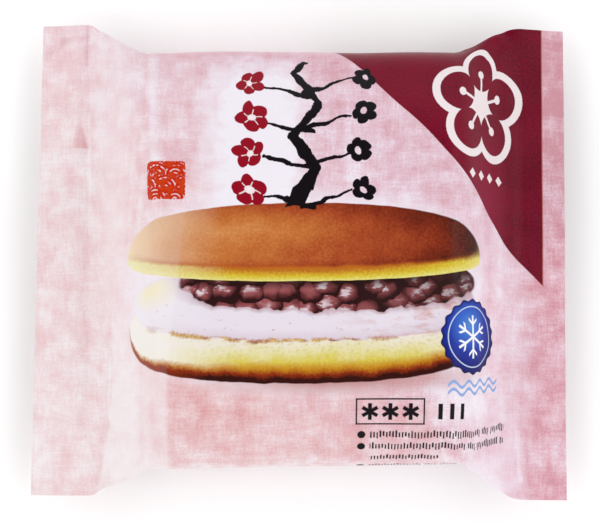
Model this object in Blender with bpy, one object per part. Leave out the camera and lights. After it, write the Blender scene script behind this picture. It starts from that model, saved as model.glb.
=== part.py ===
"""A sealed pillow pack of printed film, lying on its back with a round filled pancake cake shut inside.

The film is one tube: its two edges meet in a fin that lies flat along the underside, and a flat seal
closes it across each end. The pack is shut and opaque, so it is one solid. X runs from seal to seal,
+Z is the shown side, and the origin is on the ground under the middle of the pack.
"""

import bmesh
import bpy
import numpy as np

MM = 0.001

# Whole pack
PACK_LENGTH = 135.0 * MM
SEAL_WIDTH = 121.0 * MM
BODY_WIDTH_LEFT = 106.4 * MM
BODY_WIDTH_RIGHT = 105.2 * MM
HALF_LENGTH = PACK_LENGTH / 2

# End seals: flat strips that sag outwards a little and wave along their length
SEAL_THICKNESS = 0.6 * MM
SEAL_HEIGHT = 12.5 * MM
SEAL_SAG = 2.6 * MM
SEAL_WAVE = 0.45 * MM
LEFT_SEAL_LINE = -53.3 * MM
RIGHT_SEAL_LINE = 53.0 * MM

# The body between the slopes, and where each slope gives way to it
FRONT_RISE = 15.8 * MM
FRONT_DOME = 3.2 * MM
BACK_DEPTH = 13.6 * MM
FLAT_BACK_DEPTH = 12.0 * MM
LEFT_SHOULDER = -36.5 * MM
RIGHT_SHOULDER = 40.0 * MM
LEFT_BODY_START = -39.6 * MM
RIGHT_BODY_START = 41.5 * MM
BODY_SWAY_LEFT = -0.5 * MM
BODY_SWAY_RIGHT = 0.9 * MM
LEFT_SKEW = 2.0 * MM
SKEW_REACH = 20.0 * MM

# How round the corners of each ramp are, as a share of the ramp's length
CRISP = 0.1
SOFT = 0.3

# Section of the tube: superellipse powers across and up, from the seal line to the body
POWER_ACROSS = (2.1, 3.4)
POWER_UP = (1.0, 2.4)
SEAL_EDGE_POWER = 16

# Fin seal along the underside
FIN_WIDTH = 10.5 * MM
FIN_THICKNESS = 0.5 * MM
FIN_STEP = 0.4 * MM

# Puckers that run in from the seals: place along the seal, place of the deepest point, reach, width, depth
PUCKERS = (
    (29.0 * MM, -50.0 * MM, 7.0 * MM, 3.6 * MM, -0.9 * MM),
    (-24.0 * MM, -46.0 * MM, 8.0 * MM, 5.0 * MM, -0.6 * MM),
    (38.0 * MM, 47.0 * MM, 6.0 * MM, 4.6 * MM, -0.8 * MM),
    (4.0 * MM, 49.0 * MM, 6.5 * MM, 5.5 * MM, -0.7 * MM),
    (-33.0 * MM, 47.0 * MM, 8.0 * MM, 4.2 * MM, -1.0 * MM),
)

# Mesh
FRONT_SEGMENTS = 36
BACK_SEGMENTS = 26
CURVE_SAMPLES = 801
STRETCHES = (
    (-HALF_LENGTH, -56.0 * MM, 4),
    (-56.0 * MM, -34.0 * MM, 10),
    (-34.0 * MM, 37.0 * MM, 17),
    (37.0 * MM, 55.0 * MM, 9),
    (55.0 * MM, HALF_LENGTH, 4),
)

PINK = (0.75, 0.53, 0.56, 1.0)
FILM_ROUGHNESS = 0.38


def clear_scene():
    for thing in list(bpy.data.objects):
        bpy.data.objects.remove(thing, do_unlink=True)


def ramp(value, start, end, corner):
    """Rises straight from 0 at start to 1 at end, with both corners rounded."""
    share = (value - start) / (end - start)
    low = (share + corner) ** 2 / (4 * corner)
    high = 1 - (1 + corner - share) ** 2 / (4 * corner)
    straight = np.where(share < corner, low, np.where(share > 1 - corner, high, share))
    return np.where(share < -corner, 0.0, np.where(share > 1 + corner, 1.0, straight))


def bell(value, centre, reach):
    return np.exp(-(((value - centre) / reach) ** 2))


def hump(value, centre, reach):
    """1 at the centre, 0 from reach outwards."""
    away = np.clip((value - centre) / reach, -1, 1)
    return np.cos(away * np.pi / 2) ** 2


def mix(low, high, share):
    return low + (high - low) * share


def body_share(x):
    """0 on the seals, 1 where the pack has its full height."""
    left = ramp(x, LEFT_SEAL_LINE, LEFT_SHOULDER, CRISP)
    right = ramp(-x, -RIGHT_SEAL_LINE, -RIGHT_SHOULDER, SOFT)
    return left * right


def narrowing(x):
    """0 where the film lies flat at its full width, 1 along the straight sides of the body."""
    left = ramp(x, LEFT_SEAL_LINE, LEFT_BODY_START, CRISP)
    right = ramp(-x, -RIGHT_SEAL_LINE, -RIGHT_BODY_START, SOFT)
    return left * right


def along_body(x):
    """0 where the straight part of the body starts, 1 where it ends."""
    return (x - LEFT_BODY_START) / (RIGHT_BODY_START - LEFT_BODY_START)


def half_width(x):
    body_width = mix(BODY_WIDTH_LEFT, BODY_WIDTH_RIGHT, along_body(x))
    return mix(SEAL_WIDTH, body_width, narrowing(x)) / 2


def sway(x):
    """The body's middle line drifts sideways between the seals."""
    return mix(BODY_SWAY_LEFT, BODY_SWAY_RIGHT, along_body(x)) * narrowing(x)


def middle_height(x, y):
    """Height of the seals' own plane, which the front rises from and the back drops from."""
    outwards = ramp(np.abs(x), abs(LEFT_SEAL_LINE), HALF_LENGTH, SOFT)
    waves = np.sin(3.1 * np.pi * y / SEAL_WIDTH + 0.8) + 0.5 * np.sin(7.3 * np.pi * y / SEAL_WIDTH)
    return SEAL_HEIGHT - SEAL_SAG * outwards + SEAL_WAVE * waves * outwards


def section_shape(across, share):
    """Height of a section as a share of its middle, for points from -1 to 1 across it."""
    power_across = mix(POWER_ACROSS[0], POWER_ACROSS[1], share)
    power_up = mix(POWER_UP[0], POWER_UP[1], share)
    return np.clip(1 - np.abs(across) ** power_across, 0, 1) ** (1 / power_up)


def seal_layer(across):
    return SEAL_THICKNESS / 2 * np.sqrt(np.clip(1 - np.abs(across) ** SEAL_EDGE_POWER, 0, 1))


def pucker_depth(x, y):
    total = np.zeros_like(y)
    for place, deepest, reach, width, depth in PUCKERS:
        total = total + depth * bell(y, place, width) * bell(x, deepest, reach)
    return total


def front_height(x, across):
    """Height of the shown side above the seals' plane."""
    share = body_share(x)
    dome = 1 - np.clip(np.abs(x) / HALF_LENGTH, 0, 1) ** 2
    rise = (FRONT_RISE + FRONT_DOME * dome) * share
    bulge = rise * section_shape(across, share)
    dents = pucker_depth(x, across * half_width(x)) * np.clip(bulge / FRONT_RISE, 0, 1)
    return bulge + dents + seal_layer(across)


def back_drop(x, across):
    """Depth of the underside below the seals' plane, pressed flat where it rests."""
    share = body_share(x)
    bulge = BACK_DEPTH * share * section_shape(across, share)
    return np.minimum(bulge + seal_layer(across), FLAT_BACK_DEPTH)


def even_places(x, height, shares):
    """Finds the points across a section whose film lengths from the middle are the given shares."""
    angles = np.linspace(-np.pi / 2, np.pi / 2, CURVE_SAMPLES)
    across = np.sin(angles)
    steps = np.hypot(np.diff(across * half_width(x)), np.diff(height(x, across)))
    length = np.concatenate(([0.0], np.cumsum(steps)))
    return np.interp((shares + 1) / 2 * length[-1], length, across)


def fin_layer(place):
    """Thickness of the fin at a place along the film from the middle of the underside."""
    return FIN_THICKNESS * (np.abs(place) < FIN_WIDTH / 2 + FIN_STEP / 2)


def back_shares():
    """Shares across the underside: even steps, with a pair of points at each side of the fin."""
    edge = FIN_WIDTH / 2 / (SEAL_WIDTH / 2)
    step = FIN_STEP / (SEAL_WIDTH / 2)
    even = np.linspace(1, -1, BACK_SEGMENTS + 1)[1:-1]
    clear = even[np.abs(np.abs(even) - edge) > 4 * step]
    shares = np.concatenate((clear, (edge, edge + step, -edge, -edge - step)))
    return np.sort(shares)[::-1]


def lean(x, y):
    """The left slope runs a little askew, further out at one side than at the other."""
    here = hump(x, (LEFT_SEAL_LINE + LEFT_BODY_START) / 2, SKEW_REACH)
    return -LEFT_SKEW * (y / (SEAL_WIDTH / 2)) * here


def section_ring(x):
    """One closed ring of points: the front from -Y to +Y, then the underside back again."""
    front = even_places(x, front_height, np.linspace(-1, 1, FRONT_SEGMENTS + 1))
    back = even_places(x, back_drop, back_shares())
    fin = fin_layer(back_shares() * SEAL_WIDTH / 2)
    across = np.concatenate((front, back))
    y = across * half_width(x) + sway(x)
    lift = np.concatenate((front_height(x, front), -back_drop(x, back) - fin))
    z = middle_height(x, across * half_width(x)) + lift
    return [(x + lean(x, side), side, up) for side, up in zip(y, z)]


def stations():
    places = [np.linspace(start, end, count, endpoint=False) for start, end, count in STRETCHES]
    return np.concatenate(places + [np.array([HALF_LENGTH])])


def build_pack():
    mesh = bmesh.new()
    rings = [[mesh.verts.new(point) for point in section_ring(x)] for x in stations()]
    for ring, following in zip(rings, rings[1:]):
        for index, corner in enumerate(ring):
            after = (index + 1) % len(ring)
            mesh.faces.new((corner, following[index], following[after], ring[after]))
    mesh.faces.new(rings[0])
    mesh.faces.new(reversed(rings[-1]))
    bmesh.ops.recalc_face_normals(mesh, faces=mesh.faces)
    data = bpy.data.meshes.new("pack")
    mesh.to_mesh(data)
    mesh.free()
    pack = bpy.data.objects.new("pack", data)
    bpy.context.collection.objects.link(pack)
    data.shade_smooth()
    return pack


def film_material():
    material = bpy.data.materials.new("printed_film")
    material.use_nodes = True
    shader = material.node_tree.nodes["Principled BSDF"]
    shader.inputs["Base Color"].default_value = PINK
    shader.inputs["Roughness"].default_value = FILM_ROUGHNESS
    shader.inputs["Metallic"].default_value = 0.0
    return material


def main():
    clear_scene()
    pack = build_pack()
    pack.data.materials.append(film_material())


main()
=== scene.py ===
"""The looks of a sealed pillow pack of printed film that lies on its back.

The film is one closed mesh, made from the same named sizes as the solid that it replaces and finer than
it. Its print is worked out by its shader in the film's own coordinates: u runs along the tube and v
round it, both in millimetres from the middle of the shown side.
"""

import math

import bpy
import numpy as np
from mathutils import Matrix, Vector


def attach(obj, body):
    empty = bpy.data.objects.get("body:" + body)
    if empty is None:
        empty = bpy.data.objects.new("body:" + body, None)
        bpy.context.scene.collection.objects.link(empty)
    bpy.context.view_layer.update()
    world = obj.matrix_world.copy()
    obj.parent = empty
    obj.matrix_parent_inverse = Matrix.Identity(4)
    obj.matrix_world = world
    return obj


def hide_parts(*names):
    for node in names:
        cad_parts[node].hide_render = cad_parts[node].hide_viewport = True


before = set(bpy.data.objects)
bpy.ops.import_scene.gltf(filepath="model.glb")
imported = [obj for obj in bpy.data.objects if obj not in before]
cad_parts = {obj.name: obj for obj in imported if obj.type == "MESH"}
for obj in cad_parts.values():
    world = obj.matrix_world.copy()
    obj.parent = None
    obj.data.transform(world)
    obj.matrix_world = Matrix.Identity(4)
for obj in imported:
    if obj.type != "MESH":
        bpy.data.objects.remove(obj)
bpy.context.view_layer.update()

MM = 0.001

# The pack's sizes, as in the solid
HALF_LENGTH = 67.5 * MM
SEAL_WIDTH = 121 * MM
BODY_WIDTH_LEFT = 106.4 * MM
BODY_WIDTH_RIGHT = 105.2 * MM
SEAL_HEIGHT = 12.5 * MM
SEAL_SAG = 2.6 * MM
SEAL_WAVE = 0.45 * MM

# Waves along each seal: how many half waves fill its width, phase and share of the height above
SEAL_WAVES = ((3.1, 0.8, 1), (7.3, 0, 0.5))

# The body: where it leaves the seals, its height and depth, where its slopes end, and how it is curved
LEFT_SEAL_LINE = -53.3 * MM
RIGHT_SEAL_LINE = 53 * MM
FRONT_RISE = 15.8 * MM
FRONT_DOME = 3.2 * MM
BACK_DEPTH = 13.6 * MM
FLAT_BACK_DEPTH = 12 * MM
LEFT_SHOULDER = -36.5 * MM
RIGHT_SHOULDER = 40 * MM
LEFT_BODY_START = -39.6 * MM
RIGHT_BODY_START = 41.5 * MM
BODY_SWAY_LEFT = -0.5 * MM
BODY_SWAY_RIGHT = 0.9 * MM
LEFT_SKEW = 2 * MM
SKEW_REACH = 20 * MM
CRISP = 0.1
SOFT = 0.3
POWER_ACROSS = (2.1, 3.4)
POWER_UP = (1, 2.4)
SEAL_EDGE_POWER = 16

# Puckers beside the seals: place y, place x of the deepest point, reach along x, width and depth
PUCKERS = np.array((
    (29, -50, 7, 3.6, -0.9),
    (-24, -46, 8, 5, -0.6),
    (38, 47, 6, 4.6, -0.8),
    (4, 49, 6.5, 5.5, -0.7),
    (-33, 47, 8, 4.2, -1),
)) * MM

# The film itself is thinner than the solid's seals
FILM_SEAL_THICKNESS = 0.26 * MM
BACK_BLEND = 1.6 * MM

# Film mesh: steps along each stretch of the pack, and round it
STRETCHES = (
    (-HALF_LENGTH, -55 * MM, 28),
    (-55 * MM, -29 * MM, 66),
    (-29 * MM, 37 * MM, 80),
    (37 * MM, 55 * MM, 42),
    (55 * MM, HALF_LENGTH, 26),
)
SIDE_STEPS = 192
CURVE_SAMPLES = 1201

# Share of the bake map's height that the shown side takes, the margins round it and its end strips' width
FRONT_MAP_SHARE = 0.69
MAP_MARGIN = 0.008
CAP_MAP_WIDTH = 0.003

# Fin seal: one slab along the underside, clear of the film that it lies against. Its edges wave a little,
# by a run along u, a phase and a share each.
FIN_WIDTH = 10.5 * MM
FIN_THICKNESS = 0.3 * MM
FIN_CLEARANCE = 0.15 * MM
FIN_WAVE = 0.25 * MM
FIN_WAVES = ((9 * MM, 0, 1), (4.1 * MM, 1, 0.6))
FIN_SIDE_STEPS = 24
FIN_EDGE_POWER = 14

# How far round the tube the fin's part of the print lies, in millimetres
FIN_PRINT_PLACE = 150


def ramp(value, start, end, corner):
    """Rises straight from 0 at start to 1 at end, with both corners rounded."""
    share = (value - start) / (end - start)
    low = (share + corner) ** 2 / (4 * corner)
    high = 1 - (1 + corner - share) ** 2 / (4 * corner)
    straight = np.where(share < corner, low, np.where(share > 1 - corner, high, share))
    return np.where(share < -corner, 0, np.where(share > 1 + corner, 1, straight))


def bell(value, centre, reach):
    return np.exp(-(((value - centre) / reach) ** 2))


def hump(value, centre, reach):
    """1 at the centre, 0 from reach outwards."""
    away = np.clip((value - centre) / reach, -1, 1)
    return np.cos(away * np.pi / 2) ** 2


def mix(low, high, share):
    return low + (high - low) * share


def soft_minimum(first, second, blend):
    share = np.clip(0.5 + 0.5 * (second - first) / blend, 0, 1)
    return mix(second, first, share) - blend * share * (1 - share)


def from_seals(x, left_end, right_end, left_corner=CRISP):
    """0 on the seals, 1 between the places where the slopes beside them end."""
    left = ramp(x, LEFT_SEAL_LINE, left_end, left_corner)
    return left * ramp(-x, -RIGHT_SEAL_LINE, -right_end, SOFT)


def body_share(x):
    """0 on the seals, 1 where the pack has its full height."""
    return from_seals(x, LEFT_SHOULDER, RIGHT_SHOULDER)


def narrowing(x):
    """0 where the film lies flat at its full width, 1 along the straight sides of the body."""
    return from_seals(x, LEFT_BODY_START, RIGHT_BODY_START)


def along_body(x):
    """0 where the straight part of the body starts, 1 where it ends."""
    return (x - LEFT_BODY_START) / (RIGHT_BODY_START - LEFT_BODY_START)


def half_width(x):
    body_width = mix(BODY_WIDTH_LEFT, BODY_WIDTH_RIGHT, along_body(x))
    return mix(SEAL_WIDTH, body_width, narrowing(x)) / 2


def sway(x):
    """The body's middle line drifts sideways between the seals."""
    return mix(BODY_SWAY_LEFT, BODY_SWAY_RIGHT, along_body(x)) * narrowing(x)


def lean(x, y):
    """The left slope runs a little askew, further out at one side than at the other."""
    here = hump(x, (LEFT_SEAL_LINE + LEFT_BODY_START) / 2, SKEW_REACH)
    return -LEFT_SKEW * (y / (SEAL_WIDTH / 2)) * here


def middle_height(x, y):
    """Height of the seals' own plane, which the front rises from and the back drops from."""
    outwards = ramp(np.abs(x), abs(LEFT_SEAL_LINE), HALF_LENGTH, SOFT)
    waves = 0
    for halves, phase, share in SEAL_WAVES:
        waves = waves + share * np.sin(halves * np.pi * y / SEAL_WIDTH + phase)
    return SEAL_HEIGHT - SEAL_SAG * outwards + SEAL_WAVE * waves * outwards


def section_shape(across, share):
    """Height of a section as a share of its middle, for points from -1 to 1 across it."""
    power_across = mix(POWER_ACROSS[0], POWER_ACROSS[1], share)
    power_up = mix(POWER_UP[0], POWER_UP[1], share)
    return np.clip(1 - np.abs(across) ** power_across, 0, 1) ** (1 / power_up)


def seal_layer(across):
    return FILM_SEAL_THICKNESS / 2 * np.sqrt(np.clip(1 - np.abs(across) ** SEAL_EDGE_POWER, 0, 1))


def pucker_depth(x, y):
    total = np.zeros_like(y)
    for place, deepest, reach, width, depth in PUCKERS:
        total = total + depth * bell(y, place, width) * bell(x, deepest, reach)
    return total


def front_height(x, across):
    """Height of the shown side above the seals' plane."""
    share = body_share(x)
    dome = 1 - np.clip(np.abs(x) / HALF_LENGTH, 0, 1) ** 2
    rise = (FRONT_RISE + FRONT_DOME * dome) * share
    bulge = rise * section_shape(across, share)
    dents = pucker_depth(x, across * half_width(x)) * np.clip(bulge / FRONT_RISE, 0, 1)
    return bulge + dents + seal_layer(across)


def back_drop(x, across):
    """Depth of the underside below the seals' plane, pressed flat where it rests."""
    share = body_share(x)
    bulge = BACK_DEPTH * share * section_shape(across, share)
    return soft_minimum(bulge + seal_layer(across), FLAT_BACK_DEPTH, BACK_BLEND)


def along_section(x, height, shares):
    """Points across a section at the given shares of its film, and their film length from its middle."""
    across = np.sin(np.linspace(-np.pi / 2, np.pi / 2, CURVE_SAMPLES))
    steps = np.hypot(np.diff(across * half_width(x)), np.diff(height(x, across)))
    length = np.concatenate(([0], np.cumsum(steps)))
    length = length - np.interp(0, across, length)
    wanted = np.where(shares < 0, -shares * length[0], shares * length[-1])
    return np.interp(wanted, length, across), wanted


def stations():
    places = [np.linspace(start, end, count, endpoint=False) for start, end, count in STRETCHES]
    return np.concatenate(places + [np.array([HALF_LENGTH])])


def film_lengths(places):
    """Length of film from the middle of the pack to each station, along the shown side's middle line."""
    fine = np.linspace(-HALF_LENGTH, HALF_LENGTH, CURVE_SAMPLES)
    heights = np.array([float(front_height(x, np.zeros(1))[0]) for x in fine])
    length = np.concatenate(([0], np.cumsum(np.hypot(np.diff(fine), np.diff(heights)))))
    return np.interp(places, fine, length - np.interp(0, fine, length))


def film_section(x):
    """One turn of film from the middle of the underside by -Y, the front and +Y, as y, z and v."""
    front_shares = np.linspace(-1, 1, SIDE_STEPS + 1)
    back_shares = np.linspace(0, 1, SIDE_STEPS // 2 + 1)[:-1]
    front, front_v = along_section(x, front_height, front_shares)
    low, low_v = along_section(x, back_drop, -back_shares)
    high, high_v = along_section(x, back_drop, back_shares)
    edge = along_section(x, back_drop, np.array([-1, 1]))[1]
    across = np.concatenate((low, front, high[::-1]))
    v = np.concatenate((front_v[0] - (low_v - edge[0]), front_v, front_v[-1] + (edge[1] - high_v[::-1])))
    rise = np.concatenate((-back_drop(x, low), front_height(x, front), -back_drop(x, high[::-1])))
    y = across * half_width(x) + sway(x)
    return y, middle_height(x, across * half_width(x)) + rise, v


def film_grid():
    """Positions and film coordinates of the whole tube, station by station."""
    places = stations()
    y, z, v = (np.array(part) for part in zip(*map(film_section, places)))
    x = places[:, None] + lean(places[:, None], y)
    u = np.repeat(film_lengths(places)[:, None], y.shape[1], axis=1)
    return np.stack((x, y, z), axis=-1), u, v


def outward(points):
    """Unit normals of a grid of points whose last column is its first."""
    along = np.gradient(points, axis=0)
    ring = np.concatenate((points[:, -2:-1], points, points[:, 1:2]), axis=1)
    around = (ring[:, 2:] - ring[:, :-2]) / 2
    normal = np.cross(along, around)
    return normal / np.maximum(np.linalg.norm(normal, axis=-1, keepdims=True), 1e-12)


# Broad undulations of the film: wavelength along u, waves in one turn, phase and height
UNDULATIONS = (
    (61, 5, 0.4, 0.1),
    (38, -4, 2.1, 0.08),
    (-29, 10, 4.4, 0.05),
    (23, 3, 1.3, 0.04),
    (90, 14, 5.2, 0.04),
)

# Ripples that run in from the seals and fade out on the body: wavelength round the tube, phase and height
RIPPLES = (
    (9.7, 0.3, 0.13),
    (6.1, 2.2, 0.1),
    (14.3, 4.1, 0.18),
    (4.3, 1.1, 0.04),
)
RIPPLE_BEAT = 37
RIPPLE_REACH = 9
RIPPLE_LEAN = 0.06
LEFT_RIPPLE_PLACE = -56
RIGHT_RIPPLE_PLACE = 58

# Creases of the film: where each starts and ends as (u, v), then its width and depth, in millimetres
CREASES = (
    ((-62.2, 60.5), (-62.1, 50), 0.55, -0.4),
    ((-73.5, 53.5), (-69, 57), 1.2, -0.6),
    ((-69, 57), (-62.5, 57.4), 1.1, -0.5),
    ((-63, 27), (-63.2, 24.6), 0.6, -0.3),
    ((33.5, -43), (36.8, -56.5), 0.6, -0.32),
    ((37.5, -45), (40.5, -58), 0.7, 0.26),
    ((64.5, -47), (65.6, -60), 0.85, -0.5),
    ((62.6, -49), (63.4, -60), 0.8, 0.4),
    ((70.5, -52), (71.4, -60), 0.8, -0.3),
)

# Creases that fan out from each corner of the seals over the sides, given for the corner at +u and +v:
# start and end as (u, v), width and depth, in millimetres
CORNER_CREASES = (
    ((58, 60), (41, 66), 1.5, -0.7),
    ((57, 58), (43, 56.5), 1.1, 0.34),
    ((56, 62.5), (38, 76), 1.5, 0.42),
    ((55.5, 64), (44, 84), 1.3, -0.45),
    ((55, 66), (50, 92), 1.6, 0.35),
    ((57, 55), (47, 47), 1.3, -0.26),
)
CORNER_UNEVENNESS = 0.35

# Pleats: the crest's path as (v, u) points, how far its flanks reach before and after it, and its height
PLEATS = (
    (((-58, -32.4), (-12.6, -32.9), (10, -35)), 5, 10, 0.62),
    (((6, -35.4), (12.2, -35.6), (52, -37.8)), 2.6, 3.2, 0.34),
    (((-61, -59.5), (-44, -55.8), (-31.5, -55.2), (-8, -56.5)), 4.6, 15, -0.95),
    (((-50, 47), (-20, 45.5), (8, 48)), 7, 6, 0.22),
)
PLEAT_FADE = 9
PLEAT_ROUNDNESS = 0.4

# A small pocket folded into the left seal: its top point, and the left and right ends of its bottom edge
POCKET_TOP = (-64.2, 36.9)
POCKET_LEFT = -65.9
POCKET_RIGHT = -61.9
POCKET_BOTTOM = 28.1
POCKET_DEPTH = 1
POCKET_LIP = 0.5

# Where the seals' folds give way to the body's, inwards from each seal line, how far beside the fin the
# folds fade out, in millimetres, and the least height of the film above the floor
SEAL_FADE = 5 * MM
FIN_SHELTER = 9
FILM_LOWEST = 0.12 * MM


def crease(u, v, start, end, width):
    """1 along a straight crease, fading across its width and at its ends."""
    run = np.hypot(end[0] - start[0], end[1] - start[1])
    along_u = (end[0] - start[0]) / run
    along_v = (end[1] - start[1]) / run
    along = (u - start[0]) * along_u + (v - start[1]) * along_v
    aside = (v - start[1]) * along_u - (u - start[0]) * along_v
    beyond = np.maximum(0, np.maximum(-along, along - run))
    return np.exp(-((aside / width) ** 2)) * np.exp(-((beyond / (2 * width)) ** 2))


def pleat(u, v, path, before, after, height):
    """A fold with straight flanks whose crest follows a path round the tube and dies away past it."""
    places, crest = zip(*path)
    along = u - np.interp(v, places, crest)
    flank = np.clip(np.where(along < 0, 1 + along / before, 1 - along / after), 0, 1)
    beyond = np.maximum(0, np.maximum(places[0] - v, v - places[-1]))
    ends = np.clip(1 - beyond / PLEAT_FADE, 0, 1) ** 2
    return height * flank * (PLEAT_ROUNDNESS + (1 - PLEAT_ROUNDNESS) * flank) * ends


def pocket(u, v):
    """A shallow three-cornered dent that deepens towards its straight right and bottom edges."""
    down = np.clip((POCKET_TOP[1] - v) / (POCKET_TOP[1] - POCKET_BOTTOM), 0, 1)
    left = mix(POCKET_TOP[0], POCKET_LEFT, down)
    right = mix(POCKET_TOP[0], POCKET_RIGHT, down)
    across = np.clip((u - left) / np.maximum(right - left, 0.1), 0, 1)
    lips = np.clip(1 - (u - right) / POCKET_LIP, 0, 1) * np.clip(1 - (POCKET_BOTTOM - v) / POCKET_LIP, 0, 1)
    return -POCKET_DEPTH * across * down * lips


def corner_creases(u, v):
    """The fan of creases at all four corners, each corner's a little different from the others'."""
    total = np.zeros_like(u)
    for side_u in (-1, 1):
        for side_v in (-1, 1):
            for number, (start, end, width, depth) in enumerate(CORNER_CREASES):
                uneven = 1 + CORNER_UNEVENNESS * math.sin(5.1 * number + 2.3 * side_u + 1.1 * side_v)
                reach = (end[0] * side_u, end[1] * side_v * (1 + 0.03 * side_u))
                root = (start[0] * side_u, start[1] * side_v)
                total += depth * uneven * crease(u, v, root, reach, width)
    return total


def relief(u, v, half_girth):
    """Height of the film's folds over its smooth form, in millimetres, like all its terms."""
    total = np.zeros_like(u)
    for length_u, turns, phase, height in UNDULATIONS:
        total += height * np.cos(2 * np.pi * u / length_u + turns * np.pi * v / half_girth + phase)
    near_seals = bell(u, LEFT_RIPPLE_PLACE, RIPPLE_REACH) + bell(u, RIGHT_RIPPLE_PLACE, RIPPLE_REACH)
    for length_v, phase, height in RIPPLES:
        beat = 0.65 + 0.35 * np.sin(2 * np.pi * v / RIPPLE_BEAT + 2 * phase + 0.02 * u)
        total += height * beat * near_seals * np.cos(2 * np.pi * (v + RIPPLE_LEAN * u) / length_v + phase)
    for start, end, width, depth in CREASES:
        total += depth * crease(u, v, start, end, width)
    for path, before, after, height in PLEATS:
        total += pleat(u, v, path, before, after, height)
    total += corner_creases(u, v) + pocket(u, v)
    return total * (1 - bell(np.abs(v), half_girth, FIN_SHELTER))


def folded(points, u, v):
    """Moves the film by its relief: both layers of a seal together, and the body along its normals."""
    columns = points.shape[1] - 1
    ring = np.arange(columns + 1)
    is_back = (ring < columns // 4) | (ring > 3 * columns // 4)
    front_ring = np.where(is_back, (columns // 2 - ring) % columns, ring)
    half_girth = v[:, -1:]
    on_body = from_seals(stations(), LEFT_SEAL_LINE + SEAL_FADE, RIGHT_SEAL_LINE - SEAL_FADE, SOFT)[:, None]
    body_fold = relief(u, v, half_girth) * on_body
    seal_fold = relief(u, v[:, front_ring], half_girth) * (1 - on_body)
    moved = points + outward(points) * (body_fold * MM)[..., None]
    moved[..., 2] += seal_fold * MM
    moved[..., 2] = np.maximum(moved[..., 2], FILM_LOWEST)
    return moved


def bake_grid(u, columns):
    """Place of each grid point in the bake map, with the shown side given most of its height."""
    back_share = (1 - FRONT_MAP_SHARE) / 2
    marks = (0, columns // 4, 3 * columns // 4, columns)
    places = (MAP_MARGIN, back_share, 1 - back_share, 1 - MAP_MARGIN)
    across = np.interp(np.arange(columns + 1), marks, places)
    along = np.interp(u, (u.min(), u.max()), (MAP_MARGIN, 1 - MAP_MARGIN))
    return np.stack((along, np.broadcast_to(across, u.shape)), axis=-1)


def opposite(column, columns):
    """The column behind a given one, across the tube."""
    return (columns // 2 - column) % columns


def end_faces(columns, towards):
    """Faces that close one end of a tube, each from its shown side to the side behind."""
    faces = []
    for column in range(columns // 4, 3 * columns // 4):
        corners = (column, column + 1, opposite(column + 1, columns), opposite(column, columns))
        face = list(dict.fromkeys(corners))
        faces.append(face if towards < 0 else face[::-1])
    return faces


def placed(name, data):
    """A new object that holds the given data, in the scene."""
    made = bpy.data.objects.new(name, data)
    bpy.context.collection.objects.link(made)
    return made


def tube_mesh(name, points, print_grid):
    """One closed piece from rings of points, with its print map in millimetres and its bake map."""
    rows, columns = points.shape[0], points.shape[1] - 1
    bake = bake_grid(print_grid[..., 0], columns)
    row, column = np.meshgrid(np.arange(rows - 1), np.arange(columns), indexing="ij")
    corner_rows = np.stack((row, row + 1, row + 1, row), axis=-1).reshape(-1, 4)
    corner_columns = np.stack((column, column, column + 1, column + 1), axis=-1).reshape(-1, 4)
    faces = (corner_rows * columns + corner_columns % columns).tolist()
    print_map = print_grid[corner_rows, corner_columns].reshape(-1, 2).tolist()
    bake_map = bake[corner_rows, corner_columns].reshape(-1, 2).tolist()
    for end_row, towards in ((0, -1), (rows - 1, 1)):
        strip_place = 0.5 + towards * (0.5 - CAP_MAP_WIDTH)
        for face in end_faces(columns, towards):
            faces.append([end_row * columns + corner for corner in face])
            for corner in face:
                is_shown = columns // 4 <= corner <= 3 * columns // 4
                shown = corner if is_shown else opposite(corner, columns)
                side = CAP_MAP_WIDTH / 2 if is_shown else -CAP_MAP_WIDTH / 2
                print_map.append(print_grid[end_row, shown])
                bake_map.append((strip_place + side, bake[end_row, shown, 1]))
    mesh = bpy.data.meshes.new(name)
    mesh.from_pydata(points[:, :-1].reshape(-1, 3).tolist(), [], faces)
    for map_name, places in (("print", print_map), ("OFBake", bake_map)):
        layer = mesh.uv_layers.new(name=map_name)
        layer.data.foreach_set("uv", np.array(places, dtype=np.float32).ravel())
    mesh.shade_smooth()
    mesh.set_sharp_from_angle(angle=math.radians(60))
    return placed(name, mesh)


# Where along u the right slope bunches the print up, and how far at which v, all in millimetres
GATHER_START = 38
GATHER_END = 62
GATHER = ((-121, 0), (-62, 4.6), (-42, 4.2), (-31, 2.9), (-15, 1), (4, 0))


def gathered(u, v):
    """Place of the print round the tube, for each place of the film."""
    share = np.clip((u - GATHER_START) / (GATHER_END - GATHER_START), 0, 1)
    return v - share ** 2 * (3 - 2 * share) * np.interp(v, *zip(*GATHER))


def build_film():
    points, u, v = film_grid()
    u, v = u / MM, v / MM
    return tube_mesh("film", folded(points, u, v), np.stack((u, gathered(u, v)), axis=-1))


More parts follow.
